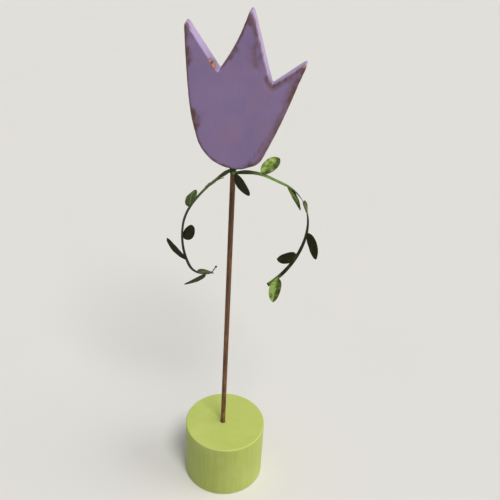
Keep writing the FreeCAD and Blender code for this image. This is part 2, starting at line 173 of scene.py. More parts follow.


# Purple paint on the head, thin over the wood and rubbed off at the edges, with painted shade along the front's
# edges and a painted highlight on its sawn sides
def purple_paint():
    material, tree, shader = new_material("purple_paint")
    streaks = grain(tree, places(tree, (1, 1, 0.06)), 900, 4)
    clouds = grain(tree, places(tree), 48, 4, 0.55)
    tints = grain(tree, places(tree, (1, 1, 0.7)), 75, 3)
    specks = grain(tree, places(tree), 1500, 4, 0.7)
    paint = mixed(tree, ranged(tree, clouds, 0.3, 0.7), PURPLE_DEEP, PURPLE)
    paint = mixed(tree, ranged(tree, tints, 0.45, 0.7, 0.0, 0.5), paint, PURPLE_PINK)
    paint = mixed(tree, ranged(tree, streaks, 0.52, 0.8, 0.0, 0.3), paint, PURPLE_PALE)
    paint = mixed(tree, worked(tree, "MULTIPLY", attribute(tree, "mauve"), 0.85), paint, BEVEL_MAUVE)
    patches = grain(tree, places(tree, (1, 1, 0.5)), 320, 4, 0.6)
    # The wear attribute also carries the line along the front's edge, which is partly painted shade; it is painted
    # as worn wood.
    rubbed = worked(tree, "MULTIPLY", attribute(tree, "wear"), ranged(tree, patches, 0.25, 0.75, 0.55, 1.35))
    rubbed = ranged(tree, rubbed, 0.08, 0.95)
    bare = worked(tree, "ADD", attribute(tree, "bare"), worked(tree, "MULTIPLY", specks, 0.4))
    bare = ranged(tree, bare, 0.7, 0.85)
    # Painted highlight: the sawn sides are made paler lilac, as if lit from above.
    paint = mixed(tree, worked(tree, "MULTIPLY", attribute(tree, "pale"), 0.85), paint, SIDE_HIGHLIGHT_LILAC)
    paint = mixed(tree, rubbed, paint, WORN_WOOD)
    paint = mixed(tree, bare, paint, BARE_WOOD)
    relief = bumped(tree, streaks, 0.00008, 0.4)
    relief = bumped(tree, specks, 0.00008, 0.4, relief)
    relief = bumped(tree, rubbed, -0.00015, 0.8, relief)
    dress_shader(tree, shader, Base_Color=paint, Normal=relief,
                 Roughness=ranged(tree, clouds, 0.2, 0.8, 0.45, 0.62), Specular_IOR_Level=0.4)
    return material


# Lime paint on the foot: upright brush marks on its side, brushed one way on its top
def lime_paint():
    material, tree, shader = new_material("lime_paint")
    spots = node(tree, "ShaderNodeTexCoord").outputs["Object"]
    apart = node(tree, "ShaderNodeSeparateXYZ", {0: spots})
    facing = node(tree, "ShaderNodeSeparateXYZ", {0: node(tree, "ShaderNodeNewGeometry").outputs["Normal"]})
    on_top = ranged(tree, facing.outputs[2], 0.6, 0.9)
    upright = grain(tree, places(tree, (1, 1, 0.05)), 420, 4)
    level = grain(tree, places(tree, (0.3, 1, 1)), 200, 4)
    brush = node(tree, "ShaderNodeMix", {0: on_top, 2: upright, 3: level}, data_type="FLOAT").outputs[0]
    brush_depth = ranged(tree, on_top, 0.0, 1.0, 0.6, 0.22)
    clouds = grain(tree, places(tree), 40, 3)
    specks = grain(tree, places(tree), 1300, 3, 0.65)
    paint = mixed(tree, worked(tree, "MULTIPLY", ranged(tree, brush, 0.7, 0.3), brush_depth), LIME, LIME_DEEP)
    paint = mixed(tree, ranged(tree, clouds, 0.42, 0.75, 0.0, 0.45), paint, LIME_PALE)
    plan = node(tree, "ShaderNodeCombineXYZ", {0: apart.outputs[0], 1: apart.outputs[1]}).outputs[0]
    from_stick = node(tree, "ShaderNodeVectorMath", {0: plan, 1: STEM_AXIS * MM},
                      operation="DISTANCE").outputs["Value"]
    from_middle = node(tree, "ShaderNodeVectorMath", {0: plan}, operation="LENGTH").outputs["Value"]
    # Painted highlight and wear on the foot's rim: it is made paler.
    rim = worked(tree, "MULTIPLY", ranged(tree, from_middle, *RIM_WEAR_AND_HIGHLIGHT_RADII),
                 ranged(tree, apart.outputs[2], *RIM_WEAR_AND_HIGHLIGHT_HEIGHTS))
    rim = worked(tree, "MULTIPLY", rim, ranged(tree, specks, 0.35, 0.6))
    paint = mixed(tree, worked(tree, "MULTIPLY", rim, 0.5), paint, LIME_PALE)
    # A darker ring on the foot's top, close round the stick.
    stick_ring = worked(tree, "MULTIPLY", ranged(tree, from_stick, *STICK_RING_RADII), on_top)
    paint = mixed(tree, stick_ring, paint, STICK_RING_DARK)
    relief = bumped(tree, brush, 0.00009, 0.5)
    relief = bumped(tree, specks, 0.00006, 0.35, relief)
    dress_shader(tree, shader, Base_Color=paint, Normal=relief,
                 Roughness=ranged(tree, brush, 0.3, 0.7, 0.42, 0.58), Specular_IOR_Level=0.45)
    return material


# Brown stain on the stick, darker in the grain, with painted shade darkening it towards the head
def brown_stick():
    material, tree, shader = new_material("brown_stick")
    fibres = grain(tree, places(tree, (1, 1, 0.03)), 2600, 4, 0.6)
    bands = grain(tree, places(tree, (1, 1, 0.35)), 170, 4, 0.6)
    stain = mixed(tree, ranged(tree, fibres, 0.35, 0.65), STICK_DARK, STICK)
    stain = mixed(tree, ranged(tree, bands, 0.5, 0.72, 0.0, 0.7), stain, STICK_PALE)
    stain = mixed(tree, ranged(tree, bands, 0.44, 0.3, 0.0, 0.7), stain, STICK_DARK)
    spot = node(tree, "ShaderNodeSeparateXYZ", {0: places(tree)})
    # Painted shade: the stick darkens towards its top under the head.
    stain = mixed(tree, ranged(tree, spot.outputs[2], *STICK_SHADE_HEIGHTS, 0.0, 0.42), stain, STICK_DARK)
    relief = bumped(tree, fibres, 0.00015, 0.6)
    dress_shader(tree, shader, Base_Color=stain, Normal=relief,
                 Roughness=ranged(tree, bands, 0.3, 0.7, 0.5, 0.68), Specular_IOR_Level=0.35)
    return material


# Satin tape: fine threads across it, and another colour where an attribute says so: painted shade on the outer
# face, painted light on the inner one
def tape_satin(name, main, pale, other, other_key, gloss):
    material, tree, shader = new_material(name)
    along, across = attribute(tree, "along"), attribute(tree, "across")
    threads = worked(tree, "SINE", worked(tree, "MULTIPLY", along, 2 * math.pi / THREAD_PITCH))
    edge = ranged(tree, worked(tree, "ABSOLUTE", across), 0.62, 0.95)
    blotches = grain(tree, places(tree), 230, 4, 0.6)
    cloth = mixed(tree, ranged(tree, blotches, 0.4, 0.68), main, pale)
    cloth = mixed(tree, worked(tree, "MULTIPLY", edge, 0.25), cloth, pale)
    # The attribute paints shade on the outer face and light on the inner face.
    cloth = mixed(tree, attribute(tree, other_key), cloth, other)
    cloth = mixed(tree, ranged(tree, threads, 0.2, 1.0, 0.0, 0.12), cloth, pale)
    relief = bumped(tree, threads, 0.00004, 0.5)
    dress_shader(tree, shader, Base_Color=cloth, Normal=relief, Roughness=0.55, Specular_IOR_Level=gloss)
    return material


# Pressed cloth of a leaf: veins stand up and catch the light
def leaf_cloth(name, main, pale, deep, roughness, gloss):
    material, tree, shader = new_material(name)
    vein = attribute(tree, "vein")
    # The tone attribute holds each leaf's own tone and its painted light and shade.
    blotches = worked(tree, "ADD", grain(tree, places(tree), 260, 4, 0.65), attribute(tree, "tone"))
    weave = grain(tree, places(tree), 2600, 2)
    cloth = mixed(tree, ranged(tree, blotches, 0.38, 0.54), deep, main)
    cloth = mixed(tree, ranged(tree, blotches, 0.54, 0.70), cloth, pale)
    cloth = mixed(tree, ranged(tree, vein, 0.35, 0.95, 0.0, 0.55), cloth, pale)
    # Painted shade: leaves with a low tone are made much deeper.
    cloth = mixed(tree, ranged(tree, attribute(tree, "tone"), *SHADED_LEAF_TONES, 0.0, 0.6), cloth, LEAF_SHADED)
    cloth = mixed(tree, ranged(tree, attribute(tree, "across"), 0.9, 1.0, 0.0, 0.7), cloth, LEAF_EDGE)
    relief = bumped(tree, weave, 0.00005, 0.4)
    dress_shader(tree, shader, Base_Color=cloth, Normal=relief,
                 Roughness=ranged(tree, weave, 0.3, 0.7, roughness, roughness + 0.12), Specular_IOR_Level=gloss)
    return material


# Meshes
def new_piece(name, points, faces, materials, slots, values, body, nodes):
    """A mesh from points in millimetres, riding on a body in place of its solids"""
    mesh = bpy.data.meshes.new(name)
    mesh.from_pydata([Vector(point) * MM for point in points], [], faces)
    for material in materials:
        mesh.materials.append(material)
    for polygon, number in zip(mesh.polygons, slots):
        polygon.material_index = number
        polygon.use_smooth = True
    for key, numbers in values.items():
        mesh.attributes.new(key, "FLOAT", "POINT").data.foreach_set("value", numbers)
    mesh.validate()
    piece = bpy.data.objects.new(name, mesh)
    bpy.context.scene.collection.objects.link(piece)
    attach(piece, body)
    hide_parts(*nodes)
    return piece


def eased(share):
    """Goes from 0 to 1 with a level start and end, and stays there"""
    share = np.clip(share, 0.0, 1.0)
    return share * share * (3 - 2 * share)


def rise(value, low, high):
    return eased((value - low) / (high - low))


# Head: the outline as in the solid, from the left tip round the bowl
HEAD_WIDTH = 72.0
HEAD_HEIGHT = 105.4
HEAD_HALF_THICKNESS = 8.5 / 2
HEAD_CORNER_SHARES = (
    (-0.435, 0.885), (-0.394, 0.437), (-0.312, 0.156), (0.166, 0.021), (0.253, 0.0825), (0.510, 0.584),
    (0.578, 0.723), (0.290, 0.5495), (0.097, 1.0), (-0.148, 0.6015))
HEAD_BULGE_SHARES = {
    0: (-0.417, 0.655), 1: (-0.3645, 0.295), 2: (-0.1255, 0.016), 3: (0.219, 0.0455), 4: (0.3925, 0.330),
    8: (0.002, 0.803)}
# How far the rounding of a tip or notch reaches along its sides
ROUNDING_REACH = {0: 5.4, 6: 5.6, 8: 6.6, 7: 1.2, 9: 1.2}
OUTLINE_STEP = 0.7
ROUNDING_STEPS = 5
EDGE_ROUND = 0.9
SAW_WAVE = 0.10
SAW_WAVE_LENGTH = 9.0
SAW_WAVES = 3
RING_DEPTHS = (0.12, 0.3, 0.55, 0.9, 1.4, 2.0, 2.7, 3.5)
GRID_STEP = 1.0
SIDE_STRIPS = 4
# Points of a ring stay where it keeps this share of its depth from the whole outline.
RING_KEPT_SHARE = 0.97
MERGE_DISTANCE = 1e-5
SHARP_ANGLE = math.radians(50)
# Wide rubbed edges on the front: where they start across and end upwards, their width and their depth
RIGHT_BEVEL_START = (5, 11)
RIGHT_BEVEL_TOP = (58, 66)
LEFT_BEVEL_START = (-20, -12)
LEFT_BEVEL_TOP = (42, 56)
RIGHT_BEVEL_WIDTH = 3.5
RIGHT_BEVEL_DEPTH = 1.2
LEFT_BEVEL_WIDTH = 2.0
LEFT_BEVEL_DEPTH = 0.6


def side_points(start, end, bulge):
    """Evenly spaced points from start to end, on the arc through the bulge if there is one"""
    steps = max(2, round((end - start).length / OUTLINE_STEP))
    if bulge is None:
        return [start.lerp(end, i / steps) for i in range(steps + 1)]
    a, b = bulge - start, end - start
    turned = 2 * (a.x * b.y - a.y * b.x)
    centre = start + Vector((b.y * a.dot(a) - a.y * b.dot(b), a.x * b.dot(b) - b.x * a.dot(a))) / turned
    first, last = start - centre, end - centre
    sweep = math.atan2(first.x * last.y - first.y * last.x, first.dot(last))
    return [centre + Matrix.Rotation(sweep * i / steps, 2) @ first for i in range(steps + 1)]


def head_loop():
    """The outline in millimetres from the stick and over the head's bottom"""
    scale = Vector((HEAD_WIDTH, HEAD_HEIGHT))
    corners = [Vector(share) * scale for share in HEAD_CORNER_SHARES]
    sides = []
    for i, start in enumerate(corners):
        j = (i + 1) % len(corners)
        bulge = Vector(HEAD_BULGE_SHARES[i]) * scale if i in HEAD_BULGE_SHARES else None
        points = side_points(start, corners[j], bulge)
        near, far = ROUNDING_REACH.get(i, 0), ROUNDING_REACH.get(j, 0)
        sides.append([p for p in points if (p - start).length >= near and (p - corners[j]).length >= far])
    loop = []
    for i, side in enumerate(sides):
        if i in ROUNDING_REACH:
            before, corner, after = sides[i - 1][-1], corners[i], side[0]
            for k in range(1, ROUNDING_STEPS):
                t = k / ROUNDING_STEPS
                loop.append(before * (1 - t) ** 2 + corner * 2 * t * (1 - t) + after * t * t)
        loop += side if (i + 1) % len(corners) in ROUNDING_REACH else side[:-1]
    wavy = []
    for i, point in enumerate(loop):
        course = (loop[(i + 1) % len(loop)] - loop[i - 1]).normalized()
        outward = Vector((course.y, -course.x))
        wave = noise.noise(Vector((point.x, point.y, 0)) / SAW_WAVE_LENGTH * SAW_WAVES)
        wavy.append(point + outward * SAW_WAVE * wave)
    return np.array([tuple(point) for point in wavy])


def path_distance(points, path):
    """Distance of each point to a path of straight pieces"""
    least = np.full(len(points), np.inf)
    for start, course in zip(path, path[1:] - path[:-1]):
        share = np.clip(((points - start) @ course) / (course @ course), 0, 1)
        least = np.minimum(least, np.hypot(*(points - start - share[:, None] * course).T))
    return least


def loop_distance(points, loop):
    """Distance of each point to a closed loop"""
    return path_distance(points, np.concatenate([loop, loop[:1]]))


def loop_holds(points, loop):
    """Whether each point is inside a closed loop"""
    inside = np.zeros(len(points), bool)
    for (ax, ay), (bx, by) in zip(loop, np.roll(loop, -1, axis=0)):
        crosses = (ay > points[:, 1]) != (by > points[:, 1])
        if ay != by:
            inside ^= crosses & (points[:, 0] < (bx - ax) * (points[:, 1] - ay) / (by - ay) + ax)
    return inside


def round_drop(depth):
    """How far a face lies back at a depth from the outline because its edge is round"""
    if depth >= EDGE_ROUND:
        return 0.0
    return EDGE_ROUND - math.sqrt(EDGE_ROUND ** 2 - (EDGE_ROUND - depth) ** 2)


def right_bevel_share(x, z):
    return rise(x, *RIGHT_BEVEL_START) * (1 - rise(z, *RIGHT_BEVEL_TOP))


def front_drop(x, z, depth):
    """How far the front lies back: its round edge and its wide rubbed ones"""
    drop = round_drop(depth)
    on_left = (1 - rise(x, *LEFT_BEVEL_START)) * (1 - rise(z, *LEFT_BEVEL_TOP))
    drop += right_bevel_share(x, z) * RIGHT_BEVEL_DEPTH * max(0.0, 1 - depth / RIGHT_BEVEL_WIDTH)
    drop += on_left * LEFT_BEVEL_DEPTH * max(0.0, 1 - depth / LEFT_BEVEL_WIDTH)
    return drop


# Rubbed places on the head as strokes: places from the stick and over the head's bottom, how far each
# reaches to its sides, and how strong it is
WORN_STROKES = (
    (((-30.6, 91.0), (-30.0, 84.0)), 2.9, 0.85),
    (((-29.0, 87.5), (-26.0, 83.0)), 1.6, 0.4),
    (((-30.3, 90.0), (-30.1, 76.0)), 1.7, 0.6),
    (((-29.8, 76.0), (-29.3, 68.0)), 3.1, 0.85),
    (((-30.0, 68.0), (-29.0, 56.0)), 0.9, 0.5),
    (((-24.8, 35.0), (-22.8, 27.5)), 3.4, 0.75),
    (((-21.8, 31.0), (-18.0, 35.5)), 3.2, 0.3),
    (((-14.9, 70.6), (-13.0, 66.6)), 1.3, 0.75),
    (((6.6, 100.5), (1.5, 86.0), (-2.4, 77.5), (-9.5, 66.0)), 1.2, 0.7),
    (((6.9, 101.0), (6.6, 95.0)), 2.0, 0.8),
    (((-1.2, 79.5), (-4.4, 74.0)), 2.6, 0.75),
    (((8.8, 96.0), (10.6, 88.0), (12.0, 80.0)), 3.4, 0.45),
    (((9.8, 82.0), (11.6, 71.5)), 5.2, 0.45),
    (((17.8, 63.0), (19.4, 59.8), (20.4, 58.0)), 1.6, 0.7),
    (((20.6, 57.2), (28.0, 62.8), (34.0, 68.0), (39.4, 73.4)), 1.2, 0.6),
    (((31.0, 64.0), (37.0, 70.0)), 3.6, 0.45),
    (((37.6, 71.0), (33.6, 59.0), (30.0, 50.0)), 3.8, 0.45),
)
# The line along the inner side of the wide rubbed edge
BEVEL_LINE = (((35.0, 66.5), (31.8, 58.0), (28.6, 44.7), (23.2, 30.6), (16.4, 15.8), (10.0, 4.9)), 1.7, 0.42)
BARE_STROKES = (
    (((-13.9, 67.7), (-13.0, 66.4)), 0.75, 0.95), (((-15.6, 70.1), (-15.3, 69.4)), 0.6, 0.85),
    (((38.8, 72.4), (39.3, 73.6)), 0.8, 0.85), (((-30.3, 91.0), (-30.2, 90.2)), 0.5, 0.5))
WEAR_GRAIN = 4.0
BACK_WEAR_SHARE = 0.55
# Rubbed line along the front's edge, worn paint and painted shade at once: its reach, its width, and the heights
# between which it narrows
ARRIS_REACH = 2.5
ARRIS_WIDTH = 2.0
ARRIS_NARROWING = (8, 40)
# How much of that line is missing on edges that look upwards, where the light falls, so that its painted shade
# stays on the others
LIT_EDGE_ARRIS_LOSS = 0.82
SIDE_MARGIN = 0.2
# How quickly the painted highlight of the sawn sides fades over the round edge
SIDE_HIGHLIGHT_FADE = 0.3


def stroke_strength(strokes, flat, ragged):
    """The strongest stroke at each point. Ragged widens and narrows the strokes."""
    strongest = np.zeros(len(flat))
    for path, reach, strength in strokes:
        away = path_distance(flat, np.array(path)) / (reach * ragged)
        strongest = np.maximum(strongest, strength * np.exp(-away ** 2))
    return strongest


def head_values(points, depths, loop, inward):
    """Where the paint is rubbed or carries painted shade along the front's edge, bare, made paler on the sawn
    sides as a painted highlight, and mauve on the wide rubbed edge
    """
    spots, depths = np.array(points), np.array(depths)
    x, y, z = spots.T
    waves = np.array([noise.noise(Vector(point) / WEAR_GRAIN) for point in points])
    flat, ragged = spots[:, [0, 2]], 1 + 0.4 * waves
    front = np.where(y < 0, 1.0, BACK_WEAR_SHARE)
    wear = stroke_strength(WORN_STROKES, flat, ragged) * front
    wear = np.maximum(wear, np.where(y < 0, stroke_strength((BEVEL_LINE,), flat, ragged), 0))
    nearest = [int(np.argmin(np.sum((loop - spot) ** 2, axis=1))) for spot in flat]
    # Painted shade and wear: the line along the front's edge is mostly left off edges that look upwards.
    looks_up = rise(-inward[nearest, 1], -0.1, 0.35)
    at_arris = (y < 2 * EDGE_ROUND - HEAD_HALF_THICKNESS) & (depths < ARRIS_REACH)
    painted_light_share = np.exp(-depths / (ARRIS_WIDTH - rise(z, *ARRIS_NARROWING)))
    arris_wear_and_shade = np.where(at_arris, painted_light_share * (1.0 - LIT_EDGE_ARRIS_LOSS * looks_up) * (1 + 0.5 * waves), 0)
    # The sawn sides get a painted highlight, fading over the round edge.
    on_side = np.abs(y) < HEAD_HALF_THICKNESS - SIDE_MARGIN
    on_bevel = right_bevel_share(x, z) * rise(RIGHT_BEVEL_WIDTH - depths, 0.0, 0.6)
    return {"wear": np.minimum(1, wear + arris_wear_and_shade), "bare": stroke_strength(BARE_STROKES, flat, ragged) * front,
            "pale": np.where(on_side, np.exp(-depths / SIDE_HIGHLIGHT_FADE), 0), "mauve": np.where(y < 0, on_bevel, 0)}


def make_head(material):
    loop = head_loop()
    count = len(loop)
    course = np.roll(loop, -1, axis=0) - np.roll(loop, 1, axis=0)
    inward = np.stack([-course[:, 1], course[:, 0]], axis=1) / np.hypot(*course.T)[:, None]
    inner = []
    for depth in RING_DEPTHS:
        ring = loop + inward * depth
        kept = (loop_distance(ring, loop) > RING_KEPT_SHARE * depth) & loop_holds(ring, loop)
        inner.append(ring[kept])
    low, high = loop.min(0), loop.max(0)
    xs = np.arange(low[0], high[0], GRID_STEP)
    zs = np.arange(low[1], high[1], GRID_STEP)
    mesh_x, mesh_z = np.meshgrid(xs, zs)
    mesh_x = mesh_x + (np.arange(len(zs)) % 2)[:, None] * GRID_STEP / 2
    grid = np.stack([mesh_x.ravel(), mesh_z.ravel()], axis=1)
    kept = loop_holds(grid, loop) & (loop_distance(grid, loop) > RING_DEPTHS[-1] + GRID_STEP / 2)
    flat = np.concatenate([loop, *inner, grid[kept]])
    edges = [(i, (i + 1) % count) for i in range(count)]
    spots, _, triangles, origins, _, _ = delaunay_2d_cdt(
        [Vector(p) for p in flat], edges, [], 1, MERGE_DISTANCE)
    at = {source: i for i, sources in enumerate(origins) for source in sources}
    rim = [at[i] for i in range(count)]
    depths = loop_distance(np.array([tuple(p) for p in spots]), loop)

    points, depth_of = [], []
    for spot, depth in zip(spots, depths):
        points.append((spot.x, front_drop(spot.x, spot.y, depth) - HEAD_HALF_THICKNESS, spot.y))
        depth_of.append(depth)
    back = len(points)
    for spot, depth in zip(spots, depths):
        points.append((spot.x, HEAD_HALF_THICKNESS - round_drop(depth), spot.y))
        depth_of.append(depth)
    faces = [tuple(t) for t in triangles] + [tuple(back + i for i in reversed(t)) for t in triangles]
    rows = [rim]
    for k in range(1, SIDE_STRIPS):
        row = []
        for i in rim:
            front_y, back_y = points[i][1], points[back + i][1]
            row.append(len(points))
            points.append((points[i][0], front_y + (back_y - front_y) * k / SIDE_STRIPS, points[i][2]))
            depth_of.append(0.0)
        rows.append(row)
    rows.append([back + i for i in rim])
    for upper, lower in zip(rows, rows[1:]):
        for i in range(count):
            j = (i + 1) % count
            faces.append((upper[i], lower[i], lower[j], upper[j]))

    values = head_values(points, depth_of, loop, inward)
    placed = [(x + STEM_AXIS.x, y + STEM_AXIS.y, z + HEAD_BOTTOM) for x, y, z in points]
    return new_piece("tulip_board", placed, faces, [material], [0] * len(faces), values, "stand",
                     ["tulip_head"])


# Garland: one upright plane through the stick, its right arm to the right and back
GARLAND_HEADING = math.radians(32.0)
GARLAND_RIGHT = Vector((math.cos(GARLAND_HEADING), math.sin(GARLAND_HEADING), 0))
GARLAND_FRONT = Vector((math.sin(GARLAND_HEADING), -math.cos(GARLAND_HEADING), 0))
TAPE_WIDTH = 3.0
TAPE_THICKNESS = 0.4
WRAP_WIDTH = 2.2
WRAP_PITCH = 2.8
WRAP_CLEARANCE = 0.2
WRAP_DROP = 1.6
WRAP_RADIUS = STEM_RADIUS + WRAP_CLEARANCE + TAPE_THICKNESS / 2
WRAP_TOP = HEAD_BOTTOM - WRAP_DROP
WRAP_ROLL = 90.0
NECK_LENGTH = 14.0
CURL_LENGTH = 2.4
THREAD_LENGTH = 4.0
THREAD_WIDTH = 0.9
KNOT_RADIUS = 0.75
END_NOTCH = 1.4
# Each arm: its stretches as length and turn in degrees, side, start height, and roll from, to and power.
ARMS = {
    "right": (((25.3, 34.0), (14.0, 0.0), (46.5, 60.0), (51.0, 58.0)), 1, WRAP_TOP - WRAP_PITCH, 20.0, -18.0, 1),
    "left": (((6.0, 28.0), (27.5, 23.5), (18.5, 32.5), (33.2, 28.5), (18.3, 66.5), (CURL_LENGTH, 56.0),
              (THREAD_LENGTH, 0.0)), -1, WRAP_TOP, -10.0, 70.0, 2),
}
ARM_STEP = 0.8
WRAP_STEPS = 48
# How much painted shade the outer face gets, and how much painted light the inner one gets: place along an arm or
# the turn, and strength.
PAINTED_SHADE_ALONG = {
    "right": ((0, 0.3), (1.6, 0.6), (3, 1.0), (10, 1.0), (17, 0.6), (24, 0.1), (38, 0.15), (46, 0.8), (56, 1.0)),
    "left": ((0, 1.0), (9, 1.0), (13, 0.6), (24, 0.6), (32, 0.85), (42, 1.0)),
    "turn": ((0, 0.9), (0.86, 0.9), (0.95, 0.15))}
# Painted light on the inner face near the right arm's end, where it turns up.
PAINTED_LIGHT_INSIDE_ALONG = {"right": ((124, 0.0), (130, 0.85)), "left": ((0, 0.0),), "turn": ((0, 0.0),)}
# Half of the tape's cross-section, from its edge: place across and height as shares of half its size.
TAPE_TOP_SHARES = ((-1.0, 0.0), (-0.94, 0.75), (-0.6, 0.95), (-0.2, 1.05), (0.2, 1.05), (0.6, 0.95), (0.94, 0.75))
TAPE_UNDER_SHARES = (
    (1.0, 0.0), (0.94, -0.75), (0.6, -0.8), (0.2, -0.75), (-0.2, -0.75), (-0.6, -0.8), (-0.94, -0.75))
# How far the tape's width comes and goes, and over which length
TAPE_WIDTH_WAVE = 0.05
TAPE_WAVE_LENGTH = 3
KNOT_RINGS, KNOT_SIDES = 7, 12
KNOT_LUMPS = 0.2
KNOT_LUMP_SCALE = 2.3


def arm_length(arm):
    return sum(length for length, _ in ARMS[arm][0])


def arm_section(arm, run):
    """Middle, outward course, face normal and width of the tape at a run from the stick"""
    stretches, side, start_height, roll_from, roll_to, power = ARMS[arm]
    across, drop, course, left_over = 0.0, 0.0, 0.0, run
    for length, turn in stretches:
        piece = min(left_over, length)
        bend = math.radians(turn) * piece / length
        if bend > 0:
            radius = piece / bend
            across += radius * (math.sin(course + bend) - math.sin(course))
            drop += radius * (math.cos(course) - math.cos(course + bend))
        else:
            across += piece * math.cos(course)
            drop += piece * math.sin(course)
        course += bend
        left_over -= piece
        if left_over <= 0:
            break
    along = GARLAND_RIGHT * side
    point = STEM_AXIS + GARLAND_FRONT * WRAP_RADIUS + along * across + UP * (start_height - drop)
    outward = along * math.cos(course) - UP * math.sin(course)
    normal = along * math.sin(course) + UP * math.cos(course)
    if run < NECK_LENGTH:
        roll = WRAP_ROLL + (roll_from - WRAP_ROLL) * eased(run / NECK_LENGTH)
    else:
        roll = roll_from + (roll_to - roll_from) * ((run - NECK_LENGTH) / (arm_length(arm) - NECK_LENGTH)) ** power
    face = normal * math.cos(math.radians(roll)) + GARLAND_FRONT * math.sin(math.radians(roll))
    width = WRAP_WIDTH + (TAPE_WIDTH - WRAP_WIDTH) * eased(run / NECK_LENGTH)
    curl_start = arm_length(arm) - THREAD_LENGTH - CURL_LENGTH
    if arm == "left" and run > curl_start:
        width += (THREAD_WIDTH - width) * min((run - curl_start) / CURL_LENGTH, 1)
    return point, outward, face, width


def wrap_section(share):
    """The tape's one turn round the stick"""
    angle = GARLAND_HEADING - math.pi / 2 + 2 * math.pi * share
    radial = Vector((math.cos(angle), math.sin(angle), 0))
    # The slope of eased() times the pitch, over the way round
    slope = WRAP_PITCH * 6 * share * (1 - share) / (2 * math.pi * WRAP_RADIUS)
    course = (UP.cross(radial) - UP * slope).normalized()
    point = STEM_AXIS + radial * WRAP_RADIUS + UP * (WRAP_TOP - WRAP_PITCH * eased(share))
    return point, course, radial, WRAP_WIDTH


def tones_at(stretch, place):
    """How much painted shade and how much painted light the tape gets at a place"""
    return [float(np.interp(place, *zip(*table[stretch]))) for table in (PAINTED_SHADE_ALONG, PAINTED_LIGHT_INSIDE_ALONG)]


def tape_sections():
    """All sections from the left arm's free end to the right arm's, with their tones"""
    sections = []
    steps = round(arm_length("left") / ARM_STEP)
    for i in range(steps, -1, -1):
        run = arm_length("left") * i / steps
        point, outward, face, width = arm_section("left", run)
        sections.append((point, -outward, face, width, *tones_at("left", run)))
    for i in range(1, WRAP_STEPS):
        sections.append((*wrap_section(i / WRAP_STEPS), *tones_at("turn", i / WRAP_STEPS)))
    steps = round(arm_length("right") / ARM_STEP)
    for i in range(steps + 1):
        run = arm_length("right") * i / steps
        sections.append((*arm_section("right", run), *tones_at("right", run)))
    return sections


def make_tape(outer, inner):
    sections = tape_sections()
    ring = TAPE_TOP_SHARES + TAPE_UNDER_SHARES
    points, faces, slots, along, across, painted_shade, painted_light = [], [], [], [], [], [], []
    run = 0.0
    for number, (point, course, face, width, painted_shade_share, painted_light_share) in enumerate(sections):
        if number:
            run += (point - sections[number - 1][0]).length
        side = course.cross(face).normalized()
        wave = 1 + TAPE_WIDTH_WAVE * noise.noise(Vector((run / TAPE_WAVE_LENGTH, 0, 0)))
        last = number == len(sections) - 1
        for place, height in ring:
            spot = point + side * (place * width * wave / 2) + face * (height * TAPE_THICKNESS / 2)
            if last:
                spot -= course * END_NOTCH * (1 - abs(place))
            points.append(spot)
            along.append(run)
            across.append(place)
            painted_shade.append(painted_shade_share)
            painted_light.append(painted_light_share)
    size = len(ring)
    for number in range(len(sections) - 1):
        for i in range(size):
            j = (i + 1) % size
            a, b = number * size, (number + 1) * size
            faces.append((a + i, a + j, b + j, b + i))
            slots.append(0 if i < len(TAPE_TOP_SHARES) else 1)
    for start, turn in ((0, -1), ((len(sections) - 1) * size, 1)):
        faces.append(tuple(start + i for i in range(size))[::turn])
        slots.append(1)
    values = {"along": along, "across": across, "painted_shade": painted_shade, "painted_light": painted_light}
    add_knot(points, faces, slots, values, sections[0][0])
    return new_piece("leaf_tape", points, faces, [outer, inner], slots, values, "garland",
                     ["garland_tape"])


def add_knot(points, faces, slots, values, centre):
    """A small hard knot at the thread's end"""
    start = len(points)
    for i in range(KNOT_RINGS + 1):
        tilt = math.pi * i / KNOT_RINGS
        for k in range(KNOT_SIDES):
            turn = 2 * math.pi * k / KNOT_SIDES
            way = Vector((math.sin(tilt) * math.cos(turn), math.sin(tilt) * math.sin(turn), math.cos(tilt)))
            points.append(centre + way * KNOT_RADIUS * (1 + KNOT_LUMPS * noise.noise(way * KNOT_LUMP_SCALE)))
            for key, numbers in values.items():
                # The knot is given full painted shade.
                numbers.append(float(key == "painted_shade"))
    for i in range(KNOT_RINGS):
        for k in range(KNOT_SIDES):
            j = (k + 1) % KNOT_SIDES
            a, b = start + i * KNOT_SIDES, start + (i + 1) * KNOT_SIDES
            faces.append((a + k, b + k, b + j, a + j))
            slots.append(0)


# Leaves: pointed ovals with a bow, folded a little along the midrib, with pressed veins
LEAF_LENGTH = 20.0
LEAF_WIDTH = 8.6
LEAF_THICKNESS = 0.3
LEAF_RISE = 0.9
LEAF_WIDEST_SHARE = 0.46
STALK_LENGTH = 0.9
STALK_WIDTH = 1.2
LEAF_FOLD = 0.05
VEIN_PITCH = 2.3
VEIN_SLANT = 1.1
VEIN_HEIGHT = 0.16
MIDRIB_HEIGHT = 0.30
LEAF_ROWS = 60
LEAF_COLUMNS = 24
# The oval's fullness, and how bluntly it ends at the stalk and at the tip
LEAF_OVAL_POWER = 2.3
LEAF_BASE_POWER = 0.62
LEAF_TIP_POWER = 0.68
LEAF_LEAST_HALF_WIDTH = 0.08
EDGE_WAVE = 0.25
MIDRIB_HALF_WIDTH = 0.35
# How quickly the painted light and shade of the two halves part beside the midrib
HALF_SHADE_STEEPNESS = 4
